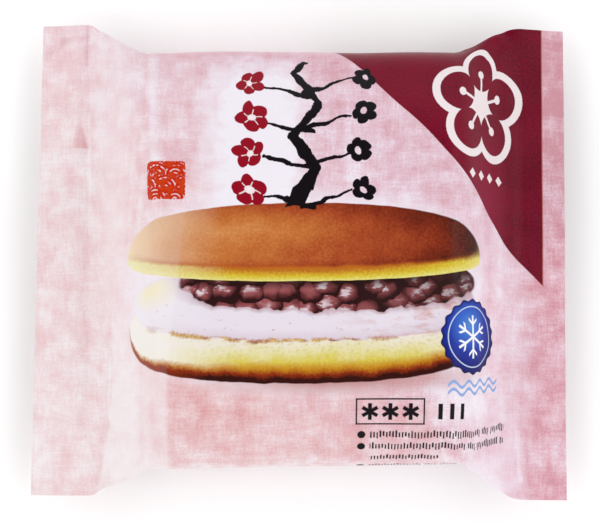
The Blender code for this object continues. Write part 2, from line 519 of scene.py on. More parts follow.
def build_fin():
    """The fin hugs the film's underside from seal to seal; its shown side faces down."""
    places = stations()[::2]
    away = np.linspace(0, 1, FIN_SIDE_STEPS // 2 + 1)
    shares = np.concatenate((away[:-1], np.linspace(1, -1, FIN_SIDE_STEPS + 1), -away[-2::-1]))
    shown = np.arange(shares.size)
    is_shown = (shown >= FIN_SIDE_STEPS // 2) & (shown <= 3 * FIN_SIDE_STEPS // 2)
    u = film_lengths(places)[:, None] + 0 * shares
    edge = sum(share * np.sin(u / run + phase) for run, phase, share in FIN_WAVES)
    y = (FIN_WIDTH / 2 + FIN_WAVE * edge) * shares
    x = places[:, None] + 0 * shares
    base = np.stack([-back_drop(px, py / half_width(px)) for px, py in zip(places, y)])
    z = base + middle_height(x, y)
    surface = np.stack((x, y + sway(x), z), axis=-1)
    along = np.gradient(surface, axis=0)
    down = np.cross(along, np.array([0, -1, 0]))
    down = down / np.linalg.norm(down, axis=-1, keepdims=True)
    layer = FIN_THICKNESS / 2 * np.sqrt(np.clip(1 - np.abs(shares) ** FIN_EDGE_POWER, 0, 1))
    depth = FIN_CLEARANCE + FIN_THICKNESS / 2 + np.where(is_shown, layer, -layer)
    points = surface + down * depth[:, None]
    print_grid = np.stack((u, y), axis=-1) / MM + np.array([0, FIN_PRINT_PLACE])
    return tube_mesh("fin", points, print_grid)


def operator(operation, swapped=False):
    """A Python operator whose result is worked out by a node."""
    if swapped:
        return lambda second, first: maths(operation, first, second)
    return lambda first, second: maths(operation, first, second)


class Value:
    """A number, place or colour that a material works out at each point of the surface."""

    def __init__(self, socket):
        self.socket = socket

    def __neg__(self):
        return maths("MULTIPLY", self, -1)

    def __abs__(self):
        return maths("ABSOLUTE", self)

    __add__ = operator("ADD")
    __radd__ = operator("ADD", swapped=True)
    __sub__ = operator("SUBTRACT")
    __rsub__ = operator("SUBTRACT", swapped=True)
    __mul__ = operator("MULTIPLY")
    __rmul__ = operator("MULTIPLY", swapped=True)
    __truediv__ = operator("DIVIDE")
    __pow__ = operator("POWER")


def enter(node, settings):
    """Feeds a node's inputs, by name or number, with worked-out values, or sets them to plain ones."""
    for name, term in settings.items():
        if isinstance(term, Value):
            node.id_data.links.new(term.socket, node.inputs[name])
        else:
            node.inputs[name].default_value = term


def maths(operation, *terms, clamp=False):
    tree = next(term.socket.id_data for term in terms if isinstance(term, Value))
    node = tree.nodes.new("ShaderNodeMath")
    node.operation = operation
    node.use_clamp = clamp
    enter(node, dict(enumerate(terms)))
    return Value(node.outputs[0])


def least(first, *others):
    for other in others:
        first = maths("MINIMUM", first, other)
    return first


def most(first, *others):
    for other in others:
        first = maths("MAXIMUM", first, other)
    return first


def length(x, y):
    return maths("SQRT", maths("MULTIPLY_ADD", x, x, y * y))


def offset(u, v, place):
    """Distance along and across from a given place."""
    return u - place[0], v - place[1]


def inside(distance, blur=0.15):
    """1 where a distance is below zero, 0 where it is above, blurred over the given width."""
    return maths("MULTIPLY_ADD", distance, -1 / blur, 0.5, clamp=True)


def between(value, low, high):
    """Rises from 0 at low to 1 at high, which may be the smaller of the two."""
    return maths("MULTIPLY_ADD", value, 1 / (high - low), -low / (high - low), clamp=True)


def window(u, v, limits_u, limits_v):
    """1 within all limits, which come in pairs: a place where it is 0, and one where it reaches 1."""
    sides = []
    for value, limits in ((u, limits_u), (v, limits_v)):
        sides += [between(value, *limits[start:start + 2]) for start in range(0, len(limits), 2)]
    return math.prod(sides)


def repeated(value, centre, pitch, count):
    """Place within the nearest mark of an even row, and that mark's number from the row's middle."""
    middle = value - centre
    half_step = 0 if count % 2 else 0.5
    number = maths("ROUND", middle / pitch - half_step) + half_step
    number = least(most(number, -(count - 1) / 2), (count - 1) / 2)
    return middle - number * pitch, number


def parts(place):
    """The x, y and z of a place or a direction."""
    node = place.socket.id_data.nodes.new("ShaderNodeSeparateXYZ")
    enter(node, {0: place})
    return [Value(part) for part in node.outputs]


def texture(kind, x, y, settings):
    """A texture node at a place that is given in units of its pattern."""
    tree = x.socket.id_data
    place = tree.nodes.new("ShaderNodeCombineXYZ")
    enter(place, {"X": x, "Y": y})
    node = tree.nodes.new(kind)
    enter(node, {"Vector": Value(place.outputs[0]), "Scale": 1, **settings})
    return node


def noise(u, v, size_u, size_v=None, detail=2, roughness=0.5, shift=0):
    """Cloudy variation from 0 to 1 whose blotches measure the given sizes."""
    x = maths("MULTIPLY_ADD", u, 1 / size_u, shift)
    y = maths("MULTIPLY_ADD", v, 1 / (size_v or size_u), shift)
    node = texture("ShaderNodeTexNoise", x, y, {"Detail": detail, "Roughness": roughness})
    node.noise_dimensions = "2D"
    return Value(node.outputs[0])


def lumps(u, v, size_u, size_v, shift=0):
    """Place across and up within the nearest of many scattered lumps, as shares of their size."""
    x = maths("MULTIPLY_ADD", u, 1 / size_u, shift)
    y = maths("MULTIPLY_ADD", v, 1 / size_v, shift)
    node = texture("ShaderNodeTexVoronoi", x, y, {"Randomness": 0.8})
    node.voronoi_dimensions = "2D"
    middle = parts(Value(node.outputs["Position"]))
    return x - middle[0], y - middle[1]


def srgb(red, green, blue):
    """A colour as a shader takes it, from the 0 to 255 values that a picture shows."""
    shares = [part / 255 for part in (red, green, blue)]
    linear = [part / 12.92 if part <= 0.04045 else ((part + 0.055) / 1.055) ** 2.4 for part in shares]
    return (*linear, 1)


def blended(low, high, share):
    """The first colour where share is 0, the second where it is 1; plain ones are 0 to 255 values."""
    node = share.socket.id_data.nodes.new("ShaderNodeMix")
    node.data_type = "RGBA"
    node.clamp_factor = True
    places = {entry.identifier: place for place, entry in enumerate(node.inputs)}
    low, high = (colour if isinstance(colour, Value) else srgb(*colour) for colour in (low, high))
    enter(node, {places["Factor_Float"]: share, places["A_Color"]: low, places["B_Color"]: high})
    return Value(next(result for result in node.outputs if result.identifier == "Result_Color"))


def layered(colour, *layers):
    """The colour with each of the (ink, share) layers laid over it in turn."""
    for ink, share in layers:
        colour = blended(colour, ink, share)
    return colour


def dimmed(colour, share):
    """The colour at a share of its brightness."""
    node = colour.socket.id_data.nodes.new("ShaderNodeVectorMath")
    node.operation = "SCALE"
    enter(node, {0: colour, "Scale": share})
    return Value(node.outputs[0])


def colours_along(value, stops):
    """A run of colours, each at its own place from 0 to 1."""
    node = value.socket.id_data.nodes.new("ShaderNodeValToRGB")
    marks = node.color_ramp.elements
    while len(marks) < len(stops):
        marks.new(0.5)
    for mark, (place, colour) in zip(marks, stops):
        mark.position = place
        mark.color = srgb(*colour)
    enter(node, {0: value})
    return Value(node.outputs[0])


def curve_through(value, reach, points):
    """A smooth curve through the given points, for values from 0 to reach."""
    node = value.socket.id_data.nodes.new("ShaderNodeFloatCurve")
    curve = node.mapping.curves[0]
    while len(curve.points) < len(points):
        curve.points.new(0.5, 0.5)
    for mark, (place, height) in zip(curve.points, points):
        mark.location = (place / reach, height / reach)
    node.mapping.update()
    enter(node, {"Value": value / reach})
    return Value(node.outputs[0]) * reach


def disc(x, y, radius):
    return length(x, y) - radius


def oblong(x, y, half_width, half_height, corner=0):
    """Distance from a rectangle with rounded corners."""
    if corner == 0:
        return most(abs(x) - half_width, abs(y) - half_height)
    out_x = most(abs(x) - (half_width - corner), 0)
    out_y = most(abs(y) - (half_height - corner), 0)
    return length(out_x, out_y) - corner


def lens(x, y, line, half_width, rise, drop, power):
    """Share of the way from a bun's middle line to its outline, which is at 1."""
    from_line = y - line
    up = most(from_line, 0) / rise
    down = most(-from_line, 0) / drop
    across = abs(x) / half_width
    return (across ** power + (up + down) ** power) ** (1 / power)


def nearest_spoke(x, y, folds, turn=0):
    """Distance along and aside from the nearest of several even spokes."""
    sector = 2 * math.pi / folds
    angle = maths("WRAP", maths("ARCTAN2", y, x) + turn, sector / 2, -sector / 2)
    away = length(x, y)
    return away * maths("COSINE", angle), away * maths("SINE", angle)


# Where a petal's middle lies, and its radius, as shares of its blossom's size
PETAL_PLACE = 0.58
PETAL_RADIUS = 0.42


def petals(x, y, size, turn=0):
    """Distance from a blossom of five round petals."""
    along, aside = nearest_spoke(x, y, 5, turn)
    return length(along - PETAL_PLACE * size, aside) - PETAL_RADIUS * size


def spokes(x, y, reach, width, folds, turn=0):
    """Distance from a star of thin straight spokes."""
    along, aside = nearest_spoke(x, y, folds, turn)
    return most(abs(aside) - width / 2, along - reach)


def stroke(x, y, start, end, width, end_width):
    """Distance from a straight stroke with round ends, which may taper."""
    run_x, run_y = end[0] - start[0], end[1] - start[1]
    square = run_x ** 2 + run_y ** 2
    from_x, from_y = offset(x, y, start)
    share = maths("ADD", from_x * (run_x / square), from_y * (run_y / square), clamp=True)
    away = length(from_x - share * run_x, from_y - share * run_y)
    return away + share * ((width - end_width) / 2) - width / 2


# The ground's printed grain, from soft blotches and crossing streaks to fine grain and broad clouds: each
# layer's share of the tone, its blotches' size along u and round v, its detail, roughness and shift
GRAIN_LAYERS = (
    (0.4, 5.4, 5.4, 3, 0.5, 0),
    (0.1, 1.7, 12, 2, 0.5, 31),
    (0.1, 12, 1.7, 2, 0.5, 57),
    (0.12, 0.55, 3.4, 1, 0.5, 19),
    (0.12, 3.4, 0.55, 1, 0.5, 43),
    (0.25, 0.5, 0.5, 2, 0.7, 11),
    (0.13, 27, 27, 1, 0.5, 83),
)
GRAIN_SHIFT = -0.11

# Where the ground is paler or deeper than elsewhere: the limits along u and round v, as a window takes
# them, then its lift and, where its blotches are fainter, by what share and towards which tone. A share
# below 0 makes them stronger.
LEFT_SHIFTS = (
    ((-28, -46), (-66, -56), 0.065, (0.14, 0.66)),
    ((-67, -73), (-20, -8), 0.03),
    ((-56, -64), (-2, 12), 0.015),
    ((2, -16, -44, -36), (-2, 12), 0.008, (0.18, 0.5)),
    ((-66, -70), (53, 57), -0.05),
    ((-57, -63), (), -0.015),
    ((-57, -63), (30, 42), -0.035),
)
RIGHT_SHIFTS = (
    ((60, 68), (), 0, (-0.35, 0.5)),
    ((8, 20, 50, 38), (12, 24), -0.02),
    ((-33.5, -31.5, 40, 30), (-33, -39, -51, -45), -0.06),
    ((-33.5, -31.5, 40, 30), (-45, -51), -0.02),
    ((34, 48, 69, 65), (30, 0), 0.055, (0.25, 0.5)),
    ((51.9, 54.9, 59.1, 56.1), (4, -6), 0.02),
)
# These are painted shade where they deepen the right seal and the side walls near the corners, and painted
# sheen where they lift the ground.
EDGE_SHADE_AND_SHEEN = (
    ((44, 52, 66, 60), (-38, -48), 0.015, (0.3, 0.52)),
    ((62, 68), (10, 24), -0.1),
    ((62, 68), (-55, -48), -0.085),
    ((54, 60), (-55, -59, -74, -66), -0.12),
    ((63, 70), (-57, -60.5, -74, -66), -0.16),
    ((-48, -38), (48, 55, 78, 62), -0.09),
    ((-50, -34), (-52, -59, -82, -66), 0.13),
    ((59, 64), (51, 58), 0.14),
)

# Soft spots on the ground: middle (u, v), half width, half height and corner, then blur and lift
SPOTS = (
    ((41, -35), (10, 7, 5), 10, 0.15),
    ((-7, -48), (9, 3.5, 3), 6, 0.045),
    ((5.5, 46), (7.5, 5, 4), 6, -0.08),
    ((13.5, 26), (3.5, 11, 3), 6, 0.05),
)

# The left slope's foot, ridge and calm crown along u, and the painted highlight streak beside the ridge
SLOPE_FOOT = -54
SLOPE_RIDGE = -32.7
CROWN_PLACE = -51
HIGHLIGHT_STREAK_PLACE = (-36.8, 38)

# Painted shade along wrinkles, or a painted highlight where the strength is negative: start and end as (u,
# v), how far each fades out beside its core, and its strength. The core's width is the same for all.
WRINKLE_SHADE_AND_HIGHLIGHTS = (
    ((-73.8, 52.6), (-69.2, 56.4), 1.7, 0.085),
    ((-69.2, 56.4), (-62.4, 57), 1.5, 0.08),
    ((-62.1, 60.5), (-62.1, 50), 0.7, 0.11),
    ((-61.9, 50), (-61.8, 38), 0.5, 0.045),
    ((-61.4, 36), (-61.2, 12), 0.5, -0.06),
    ((-62.6, 26.8), (-62.9, 24.9), 0.8, 0.06),
    ((-55.3, -26), (-55.5, -41), 0.45, -0.08),
    ((33.5, -43), (36.8, -56.5), 0.6, -0.07),
    ((37.5, -45), (40.5, -58), 0.7, -0.05),
    ((62.6, -48), (63.3, -60), 0.9, -0.06),
    ((64.6, -47.5), (65.7, -61), 1.3, 0.09),
    ((70.4, -51), (71.2, -61), 1.1, 0.06),
)
WRINKLE_CORE = 0.2

# The ground's inks from deep to white, at their places along the tone: warm at the left, cool at the
# right, rosy at the lower right
INK_STOPS = (0.24, 0.38, 0.52, 0.66, 0.8)
WARM_INKS = ((216, 152, 153), (224, 175, 177), (231, 199, 202), (238, 226, 229), (242, 240, 241))
COOL_INKS = ((205, 148, 159), (216, 170, 182), (226, 195, 208), (236, 223, 235), (242, 238, 246))
ROSY_INKS = ((212, 148, 161), (222, 171, 183), (231, 197, 209), (240, 224, 235), (245, 239, 245))
# A painted sheen that pales the ground's left end
LEFT_SHEEN = (255, 246, 248)

# Half a turn of film, in millimetres: the warm and cool sides meet again at the back
HALF_TURN = SEAL_WIDTH / MM


def shifted(tone, u, v, shifts):
    """The tone after each shift in turn."""
    for limits_u, limits_v, lift, *calming in shifts:
        change = lift
        for calm, level in calming:
            change = (level - tone) * calm + lift
        tone = tone + window(u, v, limits_u, limits_v) * change
    return tone


def left_slope(tone, u, v):
    """The slope beside the left seal: calm and pale along its top, paler still between foot and ridge by
    painted sheen, with a painted highlight streak beside the ridge.
    """
    foot = maths("MULTIPLY_ADD", most(-v - 32, 0), -0.17, SLOPE_FOOT)
    foot = foot - most(-v - 46, 0) * 0.05
    ridge = maths("MULTIPLY_ADD", most(v + 12, 0), -0.095, SLOPE_RIDGE)
    slope = between(u - foot, -0.6, 0.6) * between(u - ridge, 0.4, -0.4)
    crown = between(abs(u - CROWN_PLACE), 10, 3) * between(v, 66, 52)
    low = between(v, -4, -30) * between(v, -76, -58)
    tone = tone + crown * (1 - low) * ((0.56 - tone) * 0.45 + 0.015)
    # Painted sheen between foot and ridge, stronger towards the seal
    tone = tone + slope * low * ((0.62 - tone) * 0.52 + between(u, -37, -49) * 0.06 + 0.012)
    # A painted highlight streak beside the ridge
    from_u, from_v = offset(u, v, HIGHLIGHT_STREAK_PLACE)
    highlight_streak = between(abs(from_u + from_v * 0.05), 1.9, 0.3)
    return tone + highlight_streak * between(v, 6, 14) * between(v, 57, 51) * 0.09


def fold_shade_and_highlights(u, v):
    """Painted shade in the small pocket folded into the left seal and at its tip, and painted shade or
    highlights along a few wrinkles.
    """
    down = between(v, POCKET_TOP[1], POCKET_BOTTOM)
    left = down * (POCKET_LEFT - POCKET_TOP[0]) + POCKET_TOP[0]
    right = down * (POCKET_RIGHT - POCKET_TOP[0]) + POCKET_TOP[0]
    fold = between(u - left, -0.7, 0.9) * between(right - u, -0.1, 0.2)
    fold = fold * between(v, POCKET_BOTTOM, POCKET_BOTTOM + 0.3)
    shade_and_highlights = fold * between(v, 38.5, 32) * -0.14
    tip = between(abs(u - POCKET_TOP[0] - 0.2), 1.1, 0.2) * between(abs(v - 36.5), 4.5, 1)
    shade_and_highlights = shade_and_highlights - tip * 0.05
    for start, end, width, depth in WRINKLE_SHADE_AND_HIGHLIGHTS:
        away = stroke(u, v, start, end, WRINKLE_CORE, WRINKLE_CORE)
        shade_and_highlights = shade_and_highlights - between(away, width, 0) * depth
    return shade_and_highlights


def washi(u, v):
    """The film's ground: pink printed paper grain in soft blotches and crossing streaks, with painted sheen
    on its left end and left slope, and painted shade and highlights along its seals, side walls and
    wrinkles.
    """
    tone = sum(noise(u, v, *layer) * share for share, *layer in GRAIN_LAYERS) + GRAIN_SHIFT
    tone = left_slope(shifted(tone, u, v, LEFT_SHIFTS), u, v)
    tone = shifted(tone, u, v, RIGHT_SHIFTS)
    for middle, sizes, blur, lift in SPOTS:
        tone = tone + inside(oblong(*offset(u, v, middle), *sizes), blur) * lift
    tone = shifted(tone, u, v, EDGE_SHADE_AND_SHEEN) + fold_shade_and_highlights(u, v)
    warm, cool, rosy = (
        colours_along(tone, tuple(zip(INK_STOPS, inks))) for inks in (WARM_INKS, COOL_INKS, ROSY_INKS)
    )
    drift = noise(u, v, 6.5, shift=97) - 0.5
    turned = most(least(v, HALF_TURN - v), -HALF_TURN - v)
    return layered(
        warm,
        (cool, between(u + turned * 0.81 + drift * 60, -46, 31)),
        (rosy, between(u, 34, 50) * between(v, 16, -6)),
        # Painted sheen over the left end
        (LEFT_SHEEN, between(u, -36, -50) * 0.14),
    )


# The pale glow behind the branch and the picture
GLOW = (240, 236, 245)
GLOW_PLACE = (-11.4, 27.6)
GLOW_HALF_SIZE = (11.8, 20.6)


def glow(colour, u, v):
    away = oblong(*offset(u, v, GLOW_PLACE), *GLOW_HALF_SIZE, corner=8)
    ragged = (noise(u, v, 4, detail=3, shift=67) - 0.5) * 9
    return blended(colour, GLOW, inside(away + ragged, 8) * 0.92)


# The picture's middle, and its outlines: height of the middle line over it, half width, rise and drop
# from the line, and squareness
PICTURE_PLACE = (0.3, -11)
UPPER_PANCAKE = (9, 46.6, 13.2, 6.2, 2.35)
UPPER_FACE = (11.6, 46.3, 10.8, 5.4, 2.35)
UPPER_GLOSS = (15.5, 30, 6, 5, 2)
LOWER_PANCAKE = (-8.5, 46.4, 8, 13.7, 2.6)
CREAM = (-2.2, 44.2, 8, 9.6, 2.6)
BEANS = (3.2, 37.1, 7.6, 7.2, 2.2)
HALO = (1, 50.5, 26, 27, 2.3)
FOOT_SHADE = (-20.6, 46, 3.4, 5.2, 2)
SHARP_EDGE = (1.008, 0.992)
SOFT_EDGE = (1.012, 0.99)

# Runs of the picture's inks, each with its place from 0 to 1
CRUMB_INKS = (
    (0.1, (234, 226, 212)),
    (0.38, (226, 217, 160)),
    (0.62, (216, 198, 80)),
    (0.88, (204, 164, 30)),
)
BEAN_INKS = ((0.15, (44, 16, 18)), (0.4, (102, 48, 51)), (0.62, (146, 76, 79)), (0.88, (172, 104, 106)))
RIM_INKS = ((0.58, (184, 108, 32)), (0.72, (204, 158, 42)), (0.86, (213, 194, 58)), (1, (228, 217, 132)))
CRUST_INKS = (
    (0.04, (212, 146, 88)),
    (0.26, (194, 113, 54)),
    (0.48, (168, 74, 37)),
    (0.68, (130, 45, 23)),
    (0.92, (58, 20, 14)),
)

# A painted sheen over the picture's left end: its edge along u, and how that leans along v
SHEEN_EDGE = -29.5
SHEEN_LEAN = 0.105


def sponge(x, y, u, v, wobble, fine):
    """The lower pancake: pale at the cut, yellow lower down, and dark brown along its foot."""
    line, half_width, _, drop, power = LOWER_PANCAKE
    fibres = noise(u, v, 1, 1.4, roughness=0.6, shift=61) - 0.5
    depth = (-y - 10.5) / 10.8 + x * 0.0028 + wobble * 0.3 + fibres * 0.26
    holes = between(noise(u, v, 1, 0.8, shift=87), 0.56, 0.72)
    outline = most(1 - (abs(x) / half_width) ** power, 0) ** (1 / power)
    height = y - line + wobble * 1.6 + outline * drop + (fine - 0.5) * 1.1 + fibres * 0.3
    height = height / (between(x, -48, -18) * 0.72 + 0.28)
    return layered(
        colours_along(depth, CRUMB_INKS),
        ((204, 182, 92), holes * between(x, -46, -10) * 0.45),
        ((240, 232, 196), between(fine, 0.6, 0.75) * 0.25),
        ((241, 236, 232), between(x + y * 1.2, -36, -54) * 0.8),
        ((190, 124, 22), between(height, 5.4, 3.4) * 0.9),
        ((146, 50, 16), between(height, 3.5, 2.2)),
        ((52, 14, 9), between(height, 2.3, 1.1) * between(x, -38, -23)),
    )


def whipped(x, u, v, cream):
    """Pale cream, a little deeper at its edge, with juice and specks in it to the right."""
    juice = noise(u, v, 5.5, 1.6, detail=3, shift=19)
    specks = noise(u, v, 1.9, 1.2, shift=23)
    return layered(
        (229, 220, 231),
        ((208, 186, 198), between(cream, 0.72, 1) * 0.6),
        ((206, 152, 146), between(juice, 0.5, 0.68) * between(x, 4, 42) * 0.8),
        ((188, 122, 116), between(specks, 0.7, 0.78) * 0.5),
        ((243, 238, 243), between(x, -22, -42) * 0.7),
    )


def browned_seam(x, y, u, v, cream, wobble, fine):
    """The lower pancake's browned edge under the cream, broken here and there, as an ink and its share."""
    broken = noise(u, v, 6, 2.5, shift=53)
    seam = inside(abs(cream - 1) * CREAM[3] - 0.35 - (fine - 0.3) * 0.5, 0.5) * between(y, -5, -8)
    seam = seam * between(broken, 0.4, 0.5) * window(x, y, (-42, -30, 40, 12), ())
    return blended((204, 160, 66), (150, 74, 40), between(fine + wobble * 0.8, 0.36, 0.66)), seam * 0.85


def bean_paste(u, v, x, near_x, near_y, top, fine):
    """Glossy beans, lit from above and the left, in the shade of the pancake over them."""
    square = near_x * near_x + near_y * near_y
    facing = near_y * 0.62 - near_x * 0.3 - square * 1.35 + 0.64
    spot = length(near_x + 0.14, near_y * 1.5 - 0.26)
    streaks = noise(u, v, 1.5, 0.6, roughness=0.6, shift=41) - 0.5
    wet = noise(u, v, 7, detail=1, shift=17)
    gleam = between(spot - streaks * 0.8, 0.36, 0.14) * between(wet, 0.38, 0.54)
    return layered(
        colours_along(facing + (fine - 0.5) * 0.12, BEAN_INKS),
        ((226, 210, 218), gleam * 0.9),
        ((50, 30, 28), between(x, 2, 42) * 0.55),
        ((38, 18, 17), between(top, 1.36, 1.03) * (between(x, -32, -12) * 0.4 + 0.4)),
    )


def crust(x, y, top, wobble, fine):
    """The upper pancake: its browned face, darker to the right and round its foot, over a yellow rim."""
    rim = lens(x, y + wobble * 0.9, *UPPER_FACE)
    gloss = lens(x + 12, y, *UPPER_GLOSS)
    tan = maths("MULTIPLY_ADD", x, 0.0072, 0.4) + most(top - 0.6, 0) * 0.45
    tan = tan + wobble * 0.22 + (fine - 0.5) * 0.3 + between(rim, 0.62, 0.96) * between(y, 13, 6) * 0.16
    face = layered(
        colours_along(tan - between(gloss, 1, 0) * 0.16, CRUST_INKS),
        ((238, 212, 180), between(x, -20, -46) * between(top, 0.25, 0.85)),
        ((182, 92, 30), between(rim, 0.88, 1) * between(y, 11, 6)),
    )
    edge = colours_along(top + (fine - 0.5) * 0.3, RIM_INKS)
    edge = blended(edge, (238, 230, 190), between(x, -18, -44) * 0.75)
    return blended(face, edge, between(rim + (fine - 0.5) * 0.06, 0.96, 1.08) * between(y, 13, 9))


def cake_picture(colour, u, v):
    """A closed, level dorayaki seen from its side: two pancakes, bean paste and pale cream, under a painted
    sheen at its left end.
    """
    x, y = offset(u, v, PICTURE_PLACE)
    wobble = noise(u, v, 5, shift=7) - 0.5
    fine = noise(u, v, 0.7, roughness=0.7, shift=3)
    top = lens(x, y + wobble * 0.35, *UPPER_PANCAKE)
    base = lens(x, y + wobble * 0.6, *LOWER_PANCAKE)
    cream = lens(x, y + wobble * 1.3, *CREAM)
    bend_u = u + (noise(u, v, 2.6, detail=1, shift=73) - 0.5) * 2
    bend_v = v + (noise(u, v, 2.6, detail=1, shift=29) - 0.5) * 1.8
    near_x, near_y = lumps(bend_u, bend_v, 5.2, 4.1, shift=5)
    beans = lens(x - 7.1, y + wobble * 2.2 + length(near_x, near_y) * 1.5, *BEANS)

    halo = lens(x, y, *HALO)
    shade = lens(x - 6, y, *FOOT_SHADE)
    gold = between(length(x + 38, (y - 1) * 1.5), 8.5, 2) * between(cream, 1, 0.94)
    juice = between(beans, 1.16, 1) * between(cream, 1, 0.97) * between(x, -34, -24)
    upper, lower = between(top, *SHARP_EDGE), between(base, *SHARP_EDGE)
    filling = between(cream, *SOFT_EDGE)
    foot = between(base, 0.8, 0.9) * between(y, -8.5, -12)
    # A painted sheen over the picture's left end
    painted_sheen = between(maths("MULTIPLY_ADD", v, SHEEN_LEAN, SHEEN_EDGE) - u, -0.4, 0.4)
    painted_sheen = painted_sheen * most(upper, lower, filling) * (between(y, 12, -2) * 0.14 + 0.05 - foot * 0.15)
    return layered(
        colour,
        (GLOW, between(halo, 1.02, 0.84) * 0.72),
        ((180, 108, 102), between(shade, 1, 0.35) * between(x, -42, 4) * 0.75),
        (sponge(x, y, u, v, wobble, fine), lower),
        (whipped(x, u, v, cream), filling),
        browned_seam(x, y, u, v, cream, wobble, fine),
        ((240, 228, 158), gold * 0.6),
        ((158, 106, 116), juice * 0.6),
        (bean_paste(u, v, x, near_x, near_y, top, fine), between(beans, *SOFT_EDGE)),
        (crust(x, y, top, wobble, fine), upper),
        ((246, 243, 247), painted_sheen),
    )


# The dark corner: its right edge along u, and its curved edge as (distance from the fold, u) points,
# where the fold is the line along the pack's side that mirrors it
CORNER_RIGHT_EDGE = 69.4
CORNER_FOLD = 66
CORNER_REACH = 130
CORNER_EDGE = (
    (0, 2.5),
    (10.1, 8.3),
    (19.5, 15.1),
    (27.1, 21.7),
    (34.9, 29.7),
    (46.3, 40.2),
    (52.6, 47.6),
    (60.5, 56.6),
    (72.7, 69.3),
    (130, 118),
)
FRINGE = (176, 84, 62)
FRINGE_WIDTH = 0.26


def corner_field(colour, u, v, rough):
    """The dark corner, worn paler in clouds and deepened towards the right by painted shade, with a soft
    painted highlight below its crest and a thin fringe along its edge.
    """
    edge = curve_through(least(abs(v - CORNER_FOLD), CORNER_REACH), CORNER_REACH, CORNER_EDGE)
    slanted = (edge - u) * 0.72 + rough * 0.1
    right = u - CORNER_RIGHT_EDGE
    worn = between(noise(u, v, 12, detail=3, shift=23), 0.35, 0.7) * 0.7
    # Deeper in clouds and grain, and towards the right by painted shade
    depth = worn * 0.53 + between(u, 54, 61) * 0.24 + rough * 2.4 + 0.12
    # A soft painted highlight below the crest
    painted_highlight = between(length(u - 50.5, (v - 14) * 0.6), 11, 2)
    ink = layered((126, 4, 39), ((92, 3, 29), depth), ((138, 22, 56), painted_highlight * 0.75))
    return layered(
        colour,
        (FRINGE, inside(most(slanted, right - FRINGE_WIDTH), 0.2) * 0.75),
        (ink, inside(most(slanted, right))),
    )


# The crest in the dark corner: its blossom's middle, size and line, and the row of diamonds under it
CREST_PLACE = (48.4, 38.2)
CREST_SIZE = 15.4
CREST_LINE = 2
CREST_WHITE = (238, 226, 228)
DIAMONDS_PLACE = (50.2, 19.4)
DIAMONDS_PITCH = 4.2


def crest(colour, u, v, rough):
    """A plum blossom in outline, and a row of small diamonds under it."""
    x, y = offset(u, v, CREST_PLACE)
    turn = -math.pi / 2
    outline = abs(petals(x, y, CREST_SIZE, turn)) - CREST_LINE / 2
    threads = spokes(x, y, 7.4, 0.75, 5, turn)
    along, aside = nearest_spoke(x, y, 5, turn)
    mark = least(outline, threads, disc(along - 8, aside, 1.15), disc(x, y, 2.7)) + rough * 0.16
    bead_x, _ = repeated(u, DIAMONDS_PLACE[0], DIAMONDS_PITCH, 4)
    diamond = (abs(bead_x) + abs(v - DIAMONDS_PLACE[1])) * 0.8 - 1.05 + rough * 0.12
    return layered(colour, (CREST_WHITE, inside(mark)), (CREST_WHITE, inside(diamond)))


# The branch: its foot, its tip and its turns, and where its blossoms and buds stand
BRANCH_BOTTOM = 10.6
BRANCH_TOP = 50
BRANCH_TURN = 8.8
BLOSSOM_COLUMN = -12.9
BLOSSOM_MIDDLE = 28.6
BLOSSOM_PITCH = 9.4
BUD_COLUMN = 15.1
BUD_MIDDLE = 29.4
BUD_PITCH = 9.8
TWIG_COUNT = 4
INK_BLACK = (15, 9, 15)
INK_CRIMSON = (146, 8, 32)
BLOSSOM_PALE = (240, 224, 226)


def branch(colour, u, v, rough):
    """A plum branch in black brush strokes, with crimson blossoms on one side and buds on the other."""
    u = u + (noise(u, v, 9, detail=1, shift=71) - 0.5) * 3.4
    v = v + (noise(u, v, 7, detail=1, shift=37) - 0.5) * 2.6
    zigzag = maths("PINGPONG", v - BRANCH_BOTTOM, BRANCH_TURN) * 0.66 - 2.2
    climb = between(v, BRANCH_BOTTOM, BRANCH_TOP)
    brush = noise(u, v, 1.5, 4, shift=77) - 0.5
    stem = abs(u - zigzag) * 0.84 - 1.75 + climb * 1.1 + brush * 1.1
    stem = most(stem, v - BRANCH_TOP, BRANCH_BOTTOM - v)
    left_y, left_number = repeated(v, BLOSSOM_MIDDLE, BLOSSOM_PITCH, TWIG_COUNT)
    left = stroke(u, left_y, (2.6, -4.3), (-9.8, -1), 1.5, 0.6)
    right_y, right_number = repeated(v, BUD_MIDDLE, BUD_PITCH, TWIG_COUNT)
    right = stroke(u, right_y, (0, -4.3), (12.4, -0.6), 1.4, 0.5)
    strokes = least(stem, left + brush * 0.5, right + brush * 0.5) + rough * 0.25
    bud_x = u - BUD_COLUMN - maths("SINE", right_number * 2.3) * 0.8
    bud = petals(bud_x, right_y, 3.1, right_number * 0.9)
    bud = most(bud, 0.75 - length(bud_x, right_y)) + rough * 0.2
    bloom_x = u - BLOSSOM_COLUMN - maths("SINE", left_number * 2) * 0.9
    bloom_turn = left_number * 1.1
    bloom = petals(bloom_x, left_y, 4, bloom_turn) + rough * 0.2
    away = length(bloom_x, left_y)
    stamens = spokes(bloom_x, left_y, 2.2, 0.22, 5, bloom_turn + math.pi / 5)
    middle = least(away - 0.85, stamens, abs(away - 2.35) + 0.5)
    middle = most(middle, 0.35 - away) + rough * 0.1
    return layered(
        colour,
        (INK_BLACK, inside(strokes)),
        (INK_BLACK, inside(bud)),
        (INK_CRIMSON, inside(bloom)),
        (BLOSSOM_PALE, inside(middle)),
    )


# The stamp, and the half width and half height that one of its waves takes
STAMP_PLACE = (-33.5, 17.2)
STAMP_SIZE = 9.6
STAMP_RED = (194, 36, 2)
STAMP_WORN = (206, 74, 26)
RING_HALF_WIDTH = 2.3
RING_HALF_HEIGHT = 1.55


